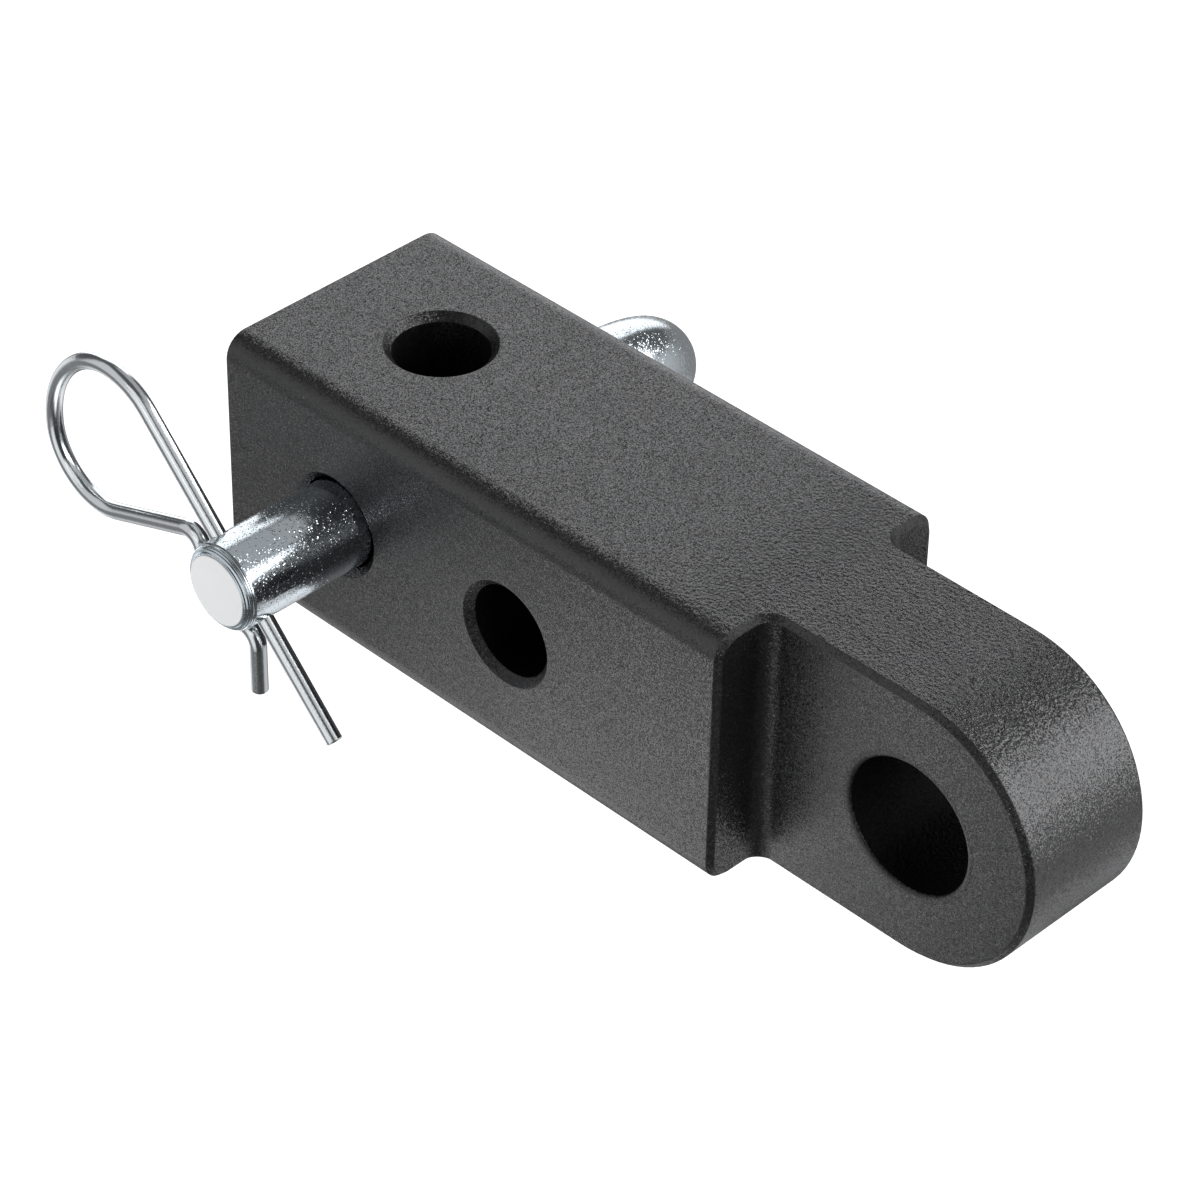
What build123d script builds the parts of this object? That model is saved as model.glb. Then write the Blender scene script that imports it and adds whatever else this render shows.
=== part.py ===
from build123d import *
import os
from math import asin, cos, degrees, pi, radians, sin, sqrt

# Shackle hitch receiver: a solid machined drawbar block that slides into a 2 inch class
# receiver tube, the bent round pin that locks it there, and the wire clip that holds the pin.
# Millimetres. +X points along the block from the tube towards the shackle end, +Z is up,
# and the clip side of the pin is on -Y. The origin is where the axis of the pin bore
# crosses the centre line of the square shank.

# ---- driving dimensions -------------------------------------------------------------

# block: shank
BAR = 50.0              # square section, across the flats
BAR_EDGE_R = 4.4        # rounding of the four long edges
BACK_X = -26.4          # back end of the shank
SHOULDER_X = 88.2       # step where the shank ends and the tongue starts
BACK_EDGE = 0.3         # edge break round the back end

# block: tongue
TONGUE_T = 27.5         # thickness across Y
END_X = 118.8           # centre of the full-round end, and of the shackle bore
END_R = BAR / 2         # the tongue is as high as the shank and ends in a full round
ROOT_R = 3.0            # upright fillet between the step and the side of the tongue
EDGE_CH = 1.0           # chamfer round the step and the tongue

# block: bores
PIN_BORE_R = 8.4        # two cross bores and one upright bore for the pin
PIN_BORE_CH = 1.45      # chamfer at their mouths
SECOND_X = 41.1         # second cross bore
SHACKLE_R = 12.0        # shackle bore
SHACKLE_EDGE_R = 0.8    # soft edge at its mouths

# pin
PIN_R = 8.0
PIN_TIP_Y = -51.1       # flat face of the clip end
PIN_TIP_R = 6.35
PIN_FULL_Y = -49.3      # full diameter starts here
BEND_Y = 32.3           # bend starts here, on the far side
BEND_R = 33.5           # radius of the bend, to the centre line
BEND_DEG = 88.0
BEND_TILT = 34.0        # plane of the bend, from straight down towards the back end
TAIL = 12.0             # straight length after the bend
TAIL_CH = 1.2

# clip hole through the pin
CLIP_Y = -45.6
CLIP_HOLE_R = 1.95
CLIP_SINK = 0.7         # how far inside the pin's surface the countersink starts

# clip, drawn in its own plane: u runs up and back along the straight leg towards the
# loop, v is square to it on the side of the sprung arm, and the pin's axis is at 0, 0
WIRE_R = 1.5
LEG_TIP_U = -31.3
LOOP =[(13.2, 77.6), (18.9, 60.8), (11.8, 106.2)]   # radius and turn of each arc
ARM_OFFSET = 7.35       # distance of the sprung arm's straight run from the pin's axis
TROUGH_R = 3.0          # the two small bends beside the pin
HUG_R = 9.65            # the arm's centre line where it passes round the pin
FLARE = 9.3             # straight end that leads the clip over the pin
WIRE_CH = 0.3

os.makedirs("parts", exist_ok=True)

HALF = BAR / 2
NEAR = Plane(origin=(0, -HALF, 0), x_dir=(1, 0, 0), z_dir=(0, -1, 0))   # clip side of the shank
TOP = Plane(origin=(0, 0, HALF), x_dir=(1, 0, 0), z_dir=(0, 0, 1))

# ---- receiver block -------------------------------------------------------------------
# One bar: square shank, a step on each side, and a tongue with a full-round end.

with BuildPart() as receiver_block:
    with BuildSketch(Plane.YZ.offset(BACK_X)):
        RectangleRounded(BAR, BAR, BAR_EDGE_R)
    extrude(amount=SHOULDER_X - BACK_X)

    # tongue, run a little way back into the shank so that the two are one solid
    with BuildSketch(Plane.XZ) as tongue_side:
        with Locations(((SHOULDER_X - 10 + END_X) / 2, 0)):
            Rectangle(END_X - SHOULDER_X + 10, BAR)
        with Locations((END_X, 0)):
            Circle(END_R)
    extrude(amount=TONGUE_T / 2, both=True)

    # upright root fillets, where the cutter left its radius in the two steps
    roots = (
        receiver_block.edges()
        .filter_by(Axis.Z)
        .filter_by_position(Axis.X, SHOULDER_X - 0.01, SHOULDER_X + 0.01)
        .filter_by_position(Axis.Y, -TONGUE_T / 2 - 0.01, TONGUE_T / 2 + 0.01)
    )
    fillet(roots, ROOT_R)

    # one chamfer runs round each step and on round the tongue: it takes every edge from
    # the step forwards except the upright seams of the root fillets
    outline = [
        e
        for e in receiver_block.edges()
        if e.center().X > SHOULDER_X - 0.05
        and not (
            e.geom_type == GeomType.LINE
            and abs(e.tangent_at(0.5).Z) > 0.99
            and abs(e.center().Y) < HALF - 1
        )
        and not (e.geom_type == GeomType.LINE and abs(e.tangent_at(0.5).Y) > 0.99 and abs(e.center().Y) < 1)
    ]
    chamfer(outline, EDGE_CH)

    # fine edge break round the back end
    chamfer(receiver_block.faces().sort_by(Axis.X)[0].edges(), BACK_EDGE)

    # pin bore and second cross bore, right through from side to side
    for x in (0, SECOND_X):
        with Locations(NEAR.offset(0) * Location((x, 0, 0))):
            Hole(PIN_BORE_R, depth=BAR)
    # upright bore at the same station as the pin bore
    with Locations(TOP):
        Hole(PIN_BORE_R, depth=BAR)
    # shackle bore, on the centre of the round end
    with Locations(Plane(origin=(END_X, -TONGUE_T / 2, 0), x_dir=(1, 0, 0), z_dir=(0, -1, 0))):
        Hole(SHACKLE_R, depth=TONGUE_T)

    pin_mouths = [
        e
        for e in receiver_block.edges().filter_by(GeomType.CIRCLE)
        if abs(e.radius - PIN_BORE_R) < 1e-3 and (abs(abs(e.center().Y) - HALF) < 1e-3 or abs(abs(e.center().Z) - HALF) < 1e-3)
    ]
    chamfer(pin_mouths, PIN_BORE_CH)
    shackle_mouths = [e for e in receiver_block.edges().filter_by(GeomType.CIRCLE) if abs(e.radius - SHACKLE_R) < 1e-3]
    fillet(shackle_mouths, SHACKLE_EDGE_R)

receiver_block.part.label = "receiver_block"
export_step(receiver_block.part, "parts/receiver_block.step")

# ---- hitch pin ------------------------------------------------------------------------
# One round rod: a turned tip with the clip hole, a straight shank through the block, and a
# wide bend that makes the handle. In the bend's plane, x runs along the pin and y down.

tilt = radians(BEND_TILT)
BEND_PLANE = Plane(origin=(0, 0, 0), x_dir=(0, 1, 0), z_dir=(-cos(tilt), 0, sin(tilt)))
TIP_PLANE = Plane(origin=(0, 0, 0), x_dir=(1, 0, 0), z_dir=(0, 0, 1))
CLIP_PLANE = Plane(origin=(0, CLIP_Y, 0), x_dir=(-1, 0, 1), z_dir=(0, -1, 0))
CLIP_HOLE = Plane(origin=(0, CLIP_Y, 0), x_dir=(0, 1, 0), z_dir=(-1, 0, 1))

# the turned tip: a crowned bevel in four passes of the tool, each ending in a fine groove
tip_passes = [(PIN_TIP_R, PIN_TIP_Y), (6.86, -50.86), (7.32, -50.50), (7.70, -50.02), (PIN_R, PIN_FULL_Y)]
GROOVE = 0.09
tip_profile = [(0, PIN_TIP_Y), tip_passes[0]]
for (r0, y0), (r1, y1) in zip(tip_passes[:-1], tip_passes[1:]):
    run = sqrt((r1 - r0) ** 2 + (y1 - y0) ** 2)
    dr, dy = (r1 - r0) / run, (y1 - y0) / run
    if r1 < PIN_R:
        # step in square to the pass, then out again to where the next pass starts
        tip_profile.append((r1 - 0.12 * dr, y1 - 0.12 * dy))
        tip_profile.append((r1 - 0.06 * dr - GROOVE * dy, y1 - 0.06 * dy + GROOVE * dr))
    tip_profile.append((r1, y1))
tip_profile += [(PIN_R, PIN_FULL_Y + 2.0), (0, PIN_FULL_Y + 2.0)]

with BuildPart() as hitch_pin:
    with BuildLine(BEND_PLANE) as route:
        straight = Line((PIN_FULL_Y + 2.0, 0), (BEND_Y, 0))
        bend = JernArc(start=straight @ 1, tangent=straight % 1, radius=BEND_R, arc_size=BEND_DEG)
        tail = Line(bend @ 1, bend @ 1 + TAIL * (bend % 1))
    with BuildSketch(Plane(origin=(0, PIN_FULL_Y + 2.0, 0), x_dir=(1, 0, 0), z_dir=(0, 1, 0))):
        Circle(PIN_R)
    sweep(path=route.line)
    tail_face = hitch_pin.faces().filter_by(GeomType.PLANE).sort_by(Axis.Z)[0]
    chamfer(tail_face.edges(), TAIL_CH)

    with BuildSketch(TIP_PLANE):
        with BuildLine():
            Polyline(*tip_profile, close=True)
        make_face()
    revolve(axis=Axis.Y, revolution_arc=360)

    # clip hole, countersunk on both sides
    with BuildSketch(CLIP_HOLE):
        Circle(CLIP_HOLE_R)
    extrude(amount=PIN_R + 2, both=True, mode=Mode.SUBTRACT)
    for side in (1, -1):
        start = CLIP_HOLE.offset(side * (PIN_R - CLIP_SINK))
        finish = CLIP_HOLE.offset(side * (PIN_R + 1.2))
        with BuildSketch(start):
            Circle(CLIP_HOLE_R)
        with BuildSketch(finish):
            Circle(CLIP_HOLE_R + CLIP_SINK + 1.2)
        loft(mode=Mode.SUBTRACT)

hitch_pin.part.label = "hitch_pin"
export_step(hitch_pin.part, "parts/hitch_pin.step")

# ---- retaining clip --------------------------------------------------------------------
# One round spring wire, all in one plane: a straight leg through the pin, an open loop to
# pull by, and an arm that comes back, bends in beside the pin, passes round it and flares.


def polar(angle_deg, length=1.0):
    return Vector(length * cos(radians(angle_deg)), length * sin(radians(angle_deg)), 0)


turn = sum(a for _, a in LOOP)                      # heading of the arm, from the leg's own heading
arm_dir = polar(turn)
arm_left = polar(turn + 90)                         # the side on which the pin lies is its right
# the arm's straight run lies ARM_OFFSET from the pin's axis; slide the loop along the leg to meet it
loop_end = Vector(0, 0, 0)
heading = 0.0
for r, a in LOOP:
    centre = loop_end + polar(heading + 90, r)
    heading += a
    loop_end = centre + polar(heading - 90, r)
arm_normal = Vector(-arm_left.X, -arm_left.Y, 0)    # points from the arm's line towards the pin
arm_out = Vector(arm_left.X, arm_left.Y, 0)
loop_u = (ARM_OFFSET - loop_end.dot(arm_out)) / arm_out.X
loop_end = loop_end + Vector(loop_u, 0, 0)

# first trough: centre TROUGH_R to the pin side of the arm, and HUG_R + TROUGH_R from the pin's axis
reach = HUG_R + TROUGH_R
across = ARM_OFFSET - TROUGH_R                      # its distance from the pin's axis along arm_out
along = sqrt(reach**2 - across**2)
trough_1 = arm_out * across - arm_dir * along
arm_stop = trough_1 + arm_out * TROUGH_R
hug_start = trough_1 * (HUG_R / reach)
start_ang = degrees(asin(hug_start.Y / HUG_R))      # angle round the pin where the arm touches it
# second trough: its flare leaves at 135 degrees
stop_ang = 137.4
trough_2 = polar(stop_ang, reach)
hug_stop = polar(stop_ang, HUG_R)
hug_mid = polar((start_ang + stop_ang) / 2, HUG_R)
flare_dir = polar(135)
flare_start = trough_2 - polar(45, TROUGH_R)


def arc_mid(centre, a, b, r):
    m = (a - centre) + (b - centre)
    return centre + m * (r / m.length)


with BuildPart() as retaining_clip:
    with BuildLine(CLIP_PLANE) as wire:
        leg = Line((LEG_TIP_U, 0), (loop_u, 0))
        last = leg
        for r, a in LOOP:
            last = JernArc(start=last @ 1, tangent=last % 1, radius=r, arc_size=a)
        arm = Line((loop_end.X, loop_end.Y), (arm_stop.X, arm_stop.Y))
        m1 = arc_mid(trough_1, arm_stop, hug_start, TROUGH_R)
        ThreePointArc((arm_stop.X, arm_stop.Y), (m1.X, m1.Y), (hug_start.X, hug_start.Y))
        ThreePointArc((hug_start.X, hug_start.Y), (hug_mid.X, hug_mid.Y), (hug_stop.X, hug_stop.Y))
        m2 = arc_mid(trough_2, hug_stop, flare_start, TROUGH_R)
        ThreePointArc((hug_stop.X, hug_stop.Y), (m2.X, m2.Y), (flare_start.X, flare_start.Y))
        tip = flare_start + flare_dir * FLARE
        Line((flare_start.X, flare_start.Y), (tip.X, tip.Y))
    with BuildSketch(Plane(origin=CLIP_PLANE.from_local_coords(Vector(LEG_TIP_U, 0, 0)), x_dir=(0, 1, 0), z_dir=(-1, 0, 1))):
        Circle(WIRE_R)
    sweep(path=wire.line)
    ends = retaining_clip.faces().filter_by(GeomType.PLANE)
    chamfer(ends.edges(), WIRE_CH)

retaining_clip.part.label = "retaining_clip"
export_step(retaining_clip.part, "parts/retaining_clip.step")

wire_length = sum(e.length for e in wire.line.edges())
print("clip: loop starts at u", round(loop_u, 3), "wire length", round(wire_length, 2),
      "volume", round(retaining_clip.part.volume, 1), "section x length", round(pi * WIRE_R**2 * wire_length, 1))
print("pin volume", round(hitch_pin.part.volume, 1), "block volume", round(receiver_block.part.volume, 1))
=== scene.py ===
import bpy
import math
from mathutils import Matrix, Quaternion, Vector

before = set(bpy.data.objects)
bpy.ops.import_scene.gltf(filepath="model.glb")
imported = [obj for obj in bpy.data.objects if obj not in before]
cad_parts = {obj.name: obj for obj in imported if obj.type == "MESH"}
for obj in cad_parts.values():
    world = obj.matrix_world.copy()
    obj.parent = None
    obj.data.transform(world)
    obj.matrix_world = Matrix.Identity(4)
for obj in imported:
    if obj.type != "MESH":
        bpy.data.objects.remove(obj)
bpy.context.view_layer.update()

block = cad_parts["receiver_block"]
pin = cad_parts["hitch_pin"]
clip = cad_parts["retaining_clip"]

scene = bpy.context.scene
scene.view_settings.view_transform = "Standard"
scene.view_settings.look = "None"

# ---- camera -----------------------------------------------------------------------------
cam_data = bpy.data.cameras.new("camera")
cam_data.sensor_fit = "HORIZONTAL"
cam_data.sensor_width = 36.0
cam_data.lens = 135.443407
cam_data.clip_start = 0.01
cam_data.clip_end = 50.0
cam = bpy.data.objects.new("camera", cam_data)
scene.collection.objects.link(cam)
cam.rotation_mode = "QUATERNION"
cam.location = (0.453785, -0.427377, 0.455018)
cam.rotation_quaternion = (0.8287905, 0.4089751, 0.1613428, 0.3461419)
scene.camera = cam


# ---- node helpers -----------------------------------------------------------------------
class Tree:
    """A short way to write a material's nodes."""

    def __init__(self, name):
        self.mat = bpy.data.materials.new(name)
        self.mat.use_nodes = True
        self.t = self.mat.node_tree
        self.t.nodes.clear()
        self.out = self.t.nodes.new("ShaderNodeOutputMaterial")
        self.bsdf = self.t.nodes.new("ShaderNodeBsdfPrincipled")
        self.t.links.new(self.bsdf.outputs[0], self.out.inputs["Surface"])
        self.coord = self.t.nodes.new("ShaderNodeTexCoord").outputs["Object"]
        self.geometry = self.t.nodes.new("ShaderNodeNewGeometry")

    def put(self, socket, value):
        if isinstance(value, bpy.types.NodeSocket):
            self.t.links.new(value, socket)
        else:
            socket.default_value = value

    def node(self, kind, **inputs):
        n = self.t.nodes.new(kind)
        for k, v in inputs.items():
            self.put(n.inputs[k.replace("_", " ")], v)
        return n

    def math(self, op, a, b=None, c=None, clamp=False):
        n = self.t.nodes.new("ShaderNodeMath")
        n.operation = op
        n.use_clamp = clamp
        for i, v in enumerate((a, b, c)):
            if v is not None:
                self.put(n.inputs[i], v)
        return n.outputs[0]

    def vector(self, op, a, b=None, c=None, scale=None):
        n = self.t.nodes.new("ShaderNodeVectorMath")
        n.operation = op
        for i, v in enumerate((a, b, c)):
            if v is not None:
                self.put(n.inputs[i], v)
        if scale is not None:
            self.put(n.inputs["Scale"], scale)
        return n.outputs[0]

    def noise(self, scale, detail=2.0, rough=0.5, coord=None, distortion=0.0):
        n = self.node("ShaderNodeTexNoise", Vector=coord or self.coord, Scale=scale, Detail=detail, Roughness=rough, Distortion=distortion)
        return n.outputs["Fac"]

    def cells(self, scale):
        n = self.node("ShaderNodeTexVoronoi", Vector=self.coord, Scale=scale, Randomness=1.0)
        n.feature = "F1"
        return n.outputs["Color"]

    def ramp(self, value, low, high, to_low=0.0, to_high=1.0, smooth=False):
        n = self.t.nodes.new("ShaderNodeMapRange")
        n.interpolation_type = "SMOOTHSTEP" if smooth else "LINEAR"
        n.clamp = True
        self.put(n.inputs["Value"], value)
        n.inputs["From Min"].default_value = low
        n.inputs["From Max"].default_value = high
        n.inputs["To Min"].default_value = to_low
        n.inputs["To Max"].default_value = to_high
        return n.outputs["Result"]

    def mix(self, fac, a, b):
        n = self.t.nodes.new("ShaderNodeMix")
        n.data_type = "RGBA"
        self.put(n.inputs[0], fac)
        self.put(n.inputs[6], a)
        self.put(n.inputs[7], b)
        return n.outputs[2]

    def bump(self, height, strength, distance, normal=None):
        n = self.t.nodes.new("ShaderNodeBump")
        self.put(n.inputs["Strength"], strength)
        n.inputs["Distance"].default_value = distance
        self.put(n.inputs["Height"], height)
        if normal is not None:
            self.put(n.inputs["Normal"], normal)
        return n.outputs["Normal"]

    def xyz(self, vector=None):
        return self.node("ShaderNodeSeparateXYZ", Vector=vector or self.coord).outputs

    def lean(self, normal, cells, amount):
        """The normal, leaning at random by up to amount from one small facet to the next."""
        offset = self.vector("SUBTRACT", cells, (0.5, 0.5, 0.5))
        offset = self.vector("SCALE", offset, scale=amount)
        return self.vector("NORMALIZE", self.vector("ADD", normal, offset))


def give(obj, tree):
    for slot in obj.material_slots:
        slot.material = tree.mat
    if not obj.material_slots:
        obj.data.materials.append(tree.mat)


# ---- black anodised, bead-blasted block --------------------------------------------------
m = Tree("anodised_block_finish")
x, y, z = m.xyz()
up = m.xyz(m.geometry.outputs["Normal"])


def off_axis(a, b, a0=0.0):
    """Distance from an axis that crosses the plane of a and b at a0, 0."""
    return m.math("SQRT", m.math("ADD", m.math("POWER", m.math("SUBTRACT", a, a0), 2.0), m.math("POWER", b, 2.0)))


def near_axes(extra):
    """1 within the bores' own radii, and as far again outside them as extra."""
    found = None
    for distance, radius in bore_axes:
        hit = m.math("LESS_THAN", distance, radius + extra)
        found = hit if found is None else m.math("MAXIMUM", found, hit)
    return found


bore_axes = [(off_axis(x, z), 0.0084), (off_axis(x, z, 0.0411), 0.0084), (off_axis(x, y), 0.0084), (off_axis(x, z, 0.1188), 0.0120)]
# in_bore and in_chamfer mark where the reflection is lowered below: painted shade inside the bores and round their
# mouths
in_bore = near_axes(0.00006)
in_chamfer = near_axes(0.0015)

# the sides are blasted finer than the top; the tongue's top and round end are coarser still
side = m.ramp(m.math("ABSOLUTE", up[1]), 0.5, 0.95)
tongue = m.math("MULTIPLY", m.ramp(x, 0.062, 0.098, smooth=True), m.ramp(up[2], 0.80, 0.97))
fine = m.noise(3600, detail=2.0, rough=0.6)
coarse = m.noise(1600, detail=2.0, rough=0.5)
cloud = m.noise(60, detail=3.0, rough=0.55)
cells = m.cells(6400)
cell = m.xyz(cells)
soft = m.node("ShaderNodeBevel", Radius=0.0004)
soft.samples = 3
relief = m.math("MULTIPLY_ADD", tongue, 0.93, 0.07)
normal = m.bump(coarse, m.math("MULTIPLY", relief, m.math("MULTIPLY_ADD", side, -0.6, 1.0)), 0.00110, soft.outputs[0])
amount = m.math("MULTIPLY", m.math("MULTIPLY_ADD", side, -0.38, 1.0), 0.56)
glint = m.math("GREATER_THAN", cell[1], 0.9975)     # a rare grain that catches the light
normal = m.lean(normal, cells, m.math("ADD", amount, glint))
m.put(m.bsdf.inputs["Normal"], normal)
grain = m.math("POWER", cell[2], 2.0)
light_grain = m.math("MULTIPLY_ADD", side, 0.030, 0.006)
m.put(m.bsdf.inputs["Base Color"], m.vector("SCALE", (1.0, 1.0, 1.02), scale=m.math("MULTIPLY_ADD", grain, light_grain, 0.002)))
blasted = m.math("ADD", m.ramp(fine, 0.3, 0.7, 0.28, 0.34), m.ramp(cloud, 0.3, 0.7, -0.03, 0.03))
blasted = m.math("MULTIPLY_ADD", tongue, -0.06, blasted)
# the broken edges of the steps are rougher than the faces, and their reflection is lowered as painted shade that
# keeps them dark
beside = m.math("MULTIPLY", m.ramp(x, 0.0868, 0.0874), m.math("LESS_THAN", x, 0.0886))
rim = m.math("MULTIPLY", beside, m.math("MULTIPLY", m.math("GREATER_THAN", m.math("ABSOLUTE", y), 0.0145), m.ramp(up[0], 0.25, 0.55)))
rim = m.math("MULTIPLY", rim, m.ramp(m.math("ABSOLUTE", up[2]), 0.25, 0.55))
blasted = m.math("MULTIPLY_ADD", rim, 0.22, blasted)
m.put(m.bsdf.inputs["Roughness"], m.math("MAXIMUM", blasted, m.math("MULTIPLY", in_bore, 0.6)))
# the lowered reflection here is painted shade, in the bores, round their mouths and on the step rims
m.put(m.bsdf.inputs["Specular IOR Level"], m.math("MULTIPLY_ADD", m.math("MAXIMUM", in_chamfer, m.math("MULTIPLY", rim, 1.8)), -0.15, m.math("MULTIPLY_ADD", in_bore, -0.32, 0.5)))
m.bsdf.inputs["IOR"].default_value = 1.8
give(block, m)

# ---- bright zinc pin ----------------------------------------------------------------------
m = Tree("zinc_pin_finish")
x, y, z = m.xyz()
fine = m.noise(2600, detail=3.0, rough=0.6)
tip = m.ramp(y, -0.0493, -0.0497)                 # the turned bevel and the end face
face = m.ramp(y, -0.05104, -0.05108)
cells = m.cells(5400)
pick = m.ramp(m.xyz(cells)[0], 0.70, 0.95)
speck = m.math("MULTIPLY", pick, m.math("SUBTRACT", 1.0, tip))
normal = m.lean(m.geometry.outputs["Normal"], cells, m.math("MULTIPLY", speck, 0.70))
turn = m.math("SINE", m.math("MULTIPLY", y, 2 * math.pi / 0.00034))
normal = m.bump(turn, m.math("MULTIPLY", tip, m.math("SUBTRACT", 1.0, face)), 0.00002, normal)
normal = m.bump(fine, 1.0, 0.000004, normal)
m.put(m.bsdf.inputs["Normal"], normal)
m.bsdf.inputs["Metallic"].default_value = 1.0
# the end face is rougher, and its near-white colour is a painted highlight for the light its turned face catches
m.put(m.bsdf.inputs["Base Color"], m.mix(face, m.mix(m.ramp(fine, 0.35, 0.65), (0.70, 0.775, 0.815, 1), (0.77, 0.83, 0.865, 1)), (0.95, 0.96, 0.96, 1)))
m.put(m.bsdf.inputs["Roughness"], m.math("ADD", m.ramp(fine, 0.3, 0.7, 0.15, 0.19), m.math("MULTIPLY", face, 0.33)))
give(pin, m)

# ---- bright zinc spring wire ----------------------------------------------------------------
m = Tree("zinc_clip_finish")
fine = m.noise(2200, detail=3.0, rough=0.6)
m.put(m.bsdf.inputs["Normal"], m.bump(fine, 1.0, 0.000015))
m.bsdf.inputs["Metallic"].default_value = 1.0
m.put(m.bsdf.inputs["Base Color"], m.mix(fine, (0.78, 0.83, 0.845, 1), (0.86, 0.885, 0.895, 1)))
m.put(m.bsdf.inputs["Roughness"], m.ramp(fine, 0.3, 0.7, 0.12, 0.20))
give(clip, m)

# ---- floor: a pale, lit table well below the part --------------------------------------------
FLOOR_Z = -0.16
size = 6.0
mesh = bpy.data.meshes.new("floor")
mesh.from_pydata([(-size, -size, FLOOR_Z), (size, -size, FLOOR_Z), (size, size, FLOOR_Z), (-size, size, FLOOR_Z)], [], [(0, 1, 2, 3)])
floor = bpy.data.objects.new("floor", mesh)
scene.collection.objects.link(floor)
fm = bpy.data.materials.new("floor_finish")
fm.use_nodes = True
fb = fm.node_tree.nodes["Principled BSDF"]
fb.inputs["Base Color"].default_value = (0.9, 0.9, 0.9, 1)
fb.inputs["Roughness"].default_value = 0.9
fb.inputs["Specular IOR Level"].default_value = 0.0
fb.inputs["Emission Color"].default_value = (1, 1, 1, 1)
fb.inputs["Emission Strength"].default_value = 0.75
fm.cycles.emission_sampling = "NONE"
mesh.materials.append(fm)
floor.visible_glossy = False

# ---- backdrop: a pale wall far round the part, which only the camera sees ---------------------
ring = [(5.5 * math.cos(i * math.pi / 48), 5.5 * math.sin(i * math.pi / 48)) for i in range(96)]
mesh = bpy.data.meshes.new("backdrop")
mesh.from_pydata([(a, b, FLOOR_Z) for a, b in ring] + [(a, b, 3.0) for a, b in ring], [],
                 [(i, (i + 1) % 96, 96 + (i + 1) % 96, 96 + i) for i in range(96)])
wall = bpy.data.objects.new("backdrop", mesh)
scene.collection.objects.link(wall)
wm = bpy.data.materials.new("backdrop_finish")
wm.use_nodes = True
wb = wm.node_tree.nodes["Principled BSDF"]
wb.inputs["Base Color"].default_value = (0.9, 0.9, 0.9, 1)
wb.inputs["Roughness"].default_value = 0.9
wb.inputs["Specular IOR Level"].default_value = 0.0
wb.inputs["Emission Color"].default_value = (1, 1, 1, 1)
wb.inputs["Emission Strength"].default_value = 1.0
wm.cycles.emission_sampling = "NONE"
mesh.materials.append(wm)
wall.visible_glossy = False
wall.visible_diffuse = False
wall.visible_transmission = False
wall.visible_shadow = False

# ---- a soft round glow on the table in front, which the near side mirrors -----------------------
GLOW_Z = -0.12
mesh = bpy.data.meshes.new("glow")
mesh.from_pydata([(-0.16, -0.20, GLOW_Z), (0.13, -0.20, GLOW_Z), (0.13, -0.02, GLOW_Z), (-0.16, -0.02, GLOW_Z)], [], [(0, 1, 2, 3)])
glow = bpy.data.objects.new("glow", mesh)
scene.collection.objects.link(glow)
g = Tree("glow_finish")
g.t.nodes.remove(g.bsdf)
gx, gy, gz = g.xyz()
across = g.math("POWER", g.math("DIVIDE", g.math("SUBTRACT", gx, -0.004), 0.106), 2.0)
along = g.math("POWER", g.math("DIVIDE", g.math("SUBTRACT", gy, -0.098), 0.056), 2.0)
falloff = g.ramp(g.math("SQRT", g.math("ADD", across, along)), 0.0, 1.0, 1.0, 0.0, smooth=True)
dip = g.math("SQRT", g.math("ADD", g.math("POWER", g.math("SUBTRACT", gx, 0.022), 2.0), g.math("POWER", g.math("SUBTRACT", gy, -0.144), 2.0)))
falloff = g.math("MULTIPLY", falloff, g.ramp(dip, 0.012, 0.046, 0.03, 1.0, smooth=True))
light = g.node("ShaderNodeEmission", Strength=g.math("MULTIPLY", falloff, 2.08))
both = g.t.nodes.new("ShaderNodeAddShader")
g.put(both.inputs[0], light.outputs[0])
g.put(both.inputs[1], g.t.nodes.new("ShaderNodeBsdfTransparent").outputs[0])
g.put(g.out.inputs["Surface"], both.outputs[0])
mesh.materials.append(g.mat)
glow.visible_camera = False
glow.visible_diffuse = False
glow.visible_shadow = False
mirrors = bpy.data.collections.new("mirrors_the_glow")
mirrors.objects.link(block)
mirrors.objects.link(clip)
glow.light_linking.receiver_collection = mirrors

# ---- a black card behind the far shoulder, seen only in reflections: painted shade standing in for the part's shadow on the table, which keeps its step dark ---
mesh = bpy.data.meshes.new("painted_shade_card")
mesh.from_pydata([(0.096, 0.044, -0.070), (0.136, 0.036, -0.070), (0.136, 0.036, 0.004), (0.096, 0.044, 0.004)], [], [(0, 1, 2, 3)])
painted_shade_card = bpy.data.objects.new("painted_shade_card", mesh)
scene.collection.objects.link(painted_shade_card)
fm = bpy.data.materials.new("painted_shade_card_finish")
fm.use_nodes = True
fb = fm.node_tree.nodes["Principled BSDF"]
fb.inputs["Base Color"].default_value = (0.01, 0.01, 0.01, 1)
fb.inputs["Roughness"].default_value = 1.0
fb.inputs["Specular IOR Level"].default_value = 0.0
mesh.materials.append(fm)
painted_shade_card.visible_camera = False
painted_shade_card.visible_diffuse = False
painted_shade_card.visible_shadow = False

# ---- two small soft boxes: one that only the pin sees, for its sawn end, and one for the wire -----
def soft_box(name, size, energy, target, toward, distance, piece):
    lamp = bpy.data.lights.new(name, "AREA")
    lamp.shape = "DISK"
    lamp.size = size
    lamp.energy = energy
    obj = bpy.data.objects.new(name, lamp)
    scene.collection.objects.link(obj)
    toward = Vector(toward).normalized()
    obj.location = Vector(target) + toward * distance
    obj.rotation_mode = "QUATERNION"
    obj.rotation_quaternion = toward.to_track_quat("Z", "Y")
    obj.visible_camera = False
    lit = bpy.data.collections.new("lit_by_" + name)
    lit.objects.link(piece)
    obj.light_linking.receiver_collection = lit


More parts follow.
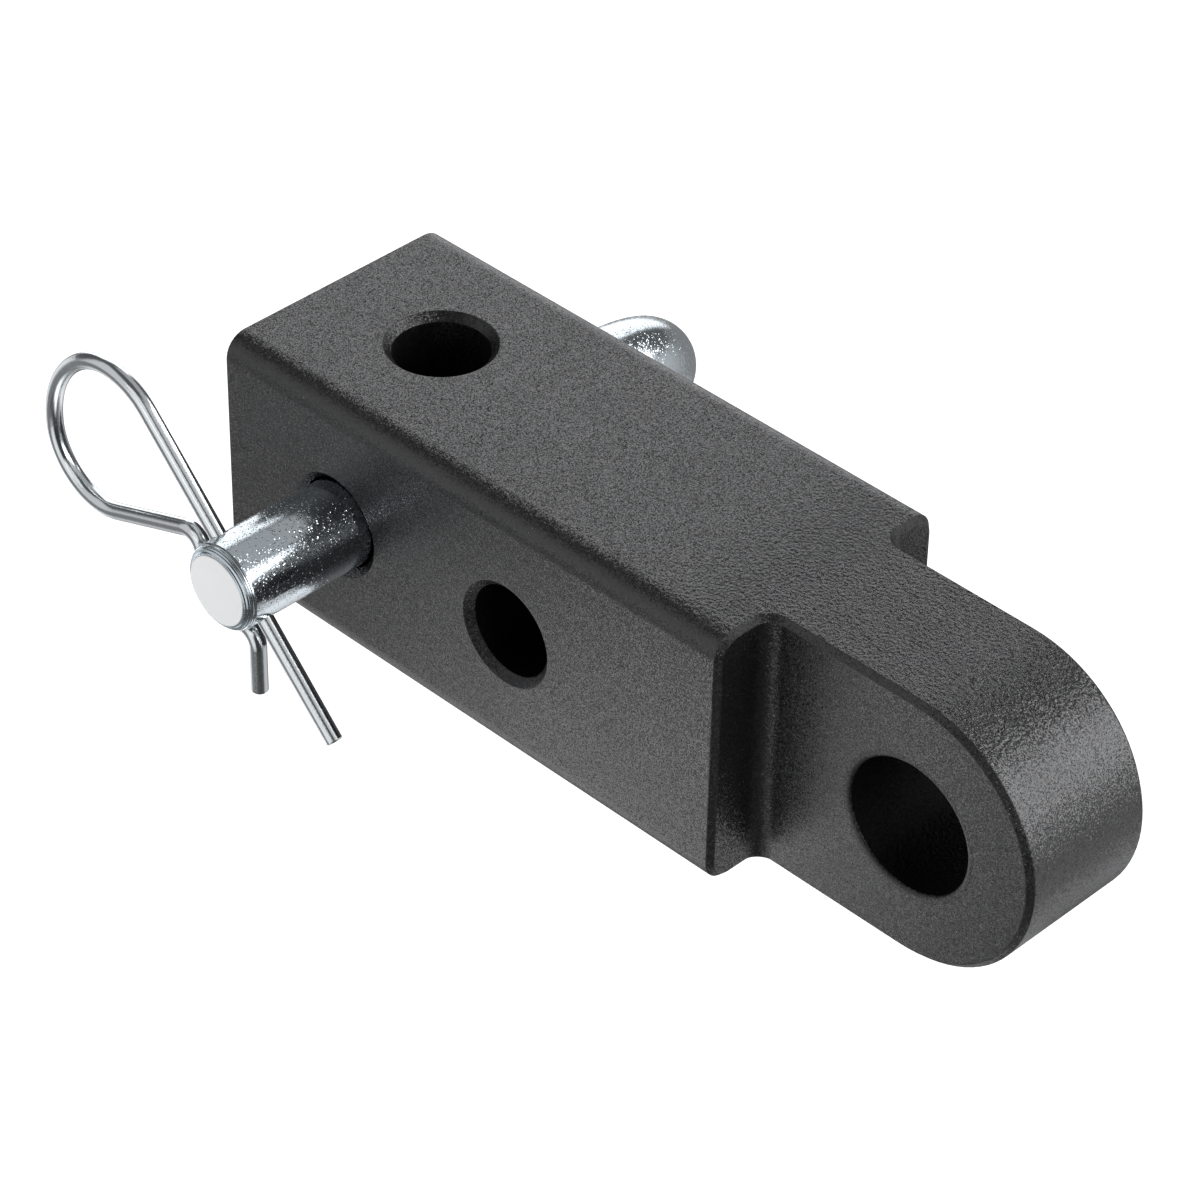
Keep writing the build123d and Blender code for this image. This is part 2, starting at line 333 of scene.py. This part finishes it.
soft_box("pin_end_light", 0.22, 0.265, (0.0, -0.051, 0.0), (-0.60, -0.55, -0.58), 0.35, pin)
soft_box("wire_light", 0.50, 0.46, (-0.02, -0.046, 0.01), (0.20, -0.80, 0.55), 0.60, clip)

# ---- studio: soft boxes and cards, drawn by direction ------------------------------------------
world = bpy.data.worlds.new("studio")
scene.world = world
world.use_nodes = True
wt = world.node_tree
bg = wt.nodes["Background"]


def wput(socket, value):
    if isinstance(value, bpy.types.NodeSocket):
        wt.links.new(value, socket)
    else:
        socket.default_value = value


def wmath(op, a, b=None, clamp=False):
    n = wt.nodes.new("ShaderNodeMath")
    n.operation = op
    n.use_clamp = clamp
    wput(n.inputs[0], a)
    if b is not None:
        wput(n.inputs[1], b)
    return n.outputs[0]


def wstep(value, low, high, to_low=0.0, to_high=1.0):
    n = wt.nodes.new("ShaderNodeMapRange")
    n.interpolation_type = "SMOOTHSTEP"
    n.clamp = True
    wput(n.inputs["Value"], value)
    n.inputs["From Min"].default_value = low
    n.inputs["From Max"].default_value = high
    n.inputs["To Min"].default_value = to_low
    n.inputs["To Max"].default_value = to_high
    return n.outputs["Result"]


ray = wt.nodes.new("ShaderNodeTexCoord").outputs["Generated"]


def wdot(v):
    n = wt.nodes.new("ShaderNodeVectorMath")
    n.operation = "DOT_PRODUCT"
    wput(n.inputs[0], ray)
    n.inputs[1].default_value = v
    return n.outputs["Value"]


total = None


def add(*factors):
    """Adds one light to the studio: the product of its factors."""
    global total
    light = factors[0]
    for f in factors[1:]:
        light = wmath("MULTIPLY", light, f)
    total = light if total is None else wmath("ADD", total, light)


def card(azimuth, elevation, half_width, half_height, radiance, edge_x=0.06, edge_y=0.06):
    """A rectangle of light far away, facing the part. Azimuth runs from +Y towards +X, in degrees;
    the half sizes and soft edges are tangents of angles seen from the part."""
    a, e = math.radians(azimuth), math.radians(elevation)
    c = Vector((math.sin(a) * math.cos(e), math.cos(a) * math.cos(e), math.sin(e)))
    r = Vector((math.cos(a), -math.sin(a), 0))
    u = r.cross(c)
    dc = wmath("MAXIMUM", wdot(c), 0.001)
    across = wmath("ABSOLUTE", wmath("DIVIDE", wdot(r), dc))
    up = wmath("ABSOLUTE", wmath("DIVIDE", wdot(u), dc))
    m1 = wstep(across, half_width - edge_x, half_width + edge_x, 1.0, 0.0)
    m2 = wstep(up, half_height - edge_y, half_height + edge_y, 1.0, 0.0)
    add(m1, m2, radiance)


updown = wdot((0, 0, 1))
leftright = wdot((1, 0, 0))
backfront = wdot((0, 1, 0))
to_front_right = wdot((0.729, -0.684, 0))
# walls and boxes
add(wstep(to_front_right, 0.9, 0.5, 0.04, 0.09))
card(-45, 15, 0.40, 0.51, 1.40)
card(60, 20, 0.95, 0.31, 3.7, 0.1, 0.17)
card(0, 60, 0.50, 0.45, 0.30, 0.12, 0.15)
card(-141, 22, 0.45, 0.60, 0.52, 0.16, 0.20)
card(176, -8, 0.40, 0.48, 0.80, 0.16, 0.16)
card(84, 42, 0.50, 0.34, 0.42, 0.20, 0.20)
card(-92, -30, 0.34, 0.50, 0.65, 0.14, 0.16)
card(5, -65, 0.36, 0.36, 0.50, 0.14, 0.14)
# the table: bright below and to the left, dark towards the camera's side
below = wstep(updown, -0.02, -0.12)
away = wstep(to_front_right, 0.42, 0.16)
add(below, away, wstep(backfront, 0.0, 0.5, 0.12, 0.14))
add(below, wstep(backfront, 0.1, 0.4), wstep(leftright, -0.2, 0.35), 0.32)
wput(bg.inputs["Strength"], total)
bg.inputs["Color"].default_value = (0.975, 0.98, 1.0, 1)
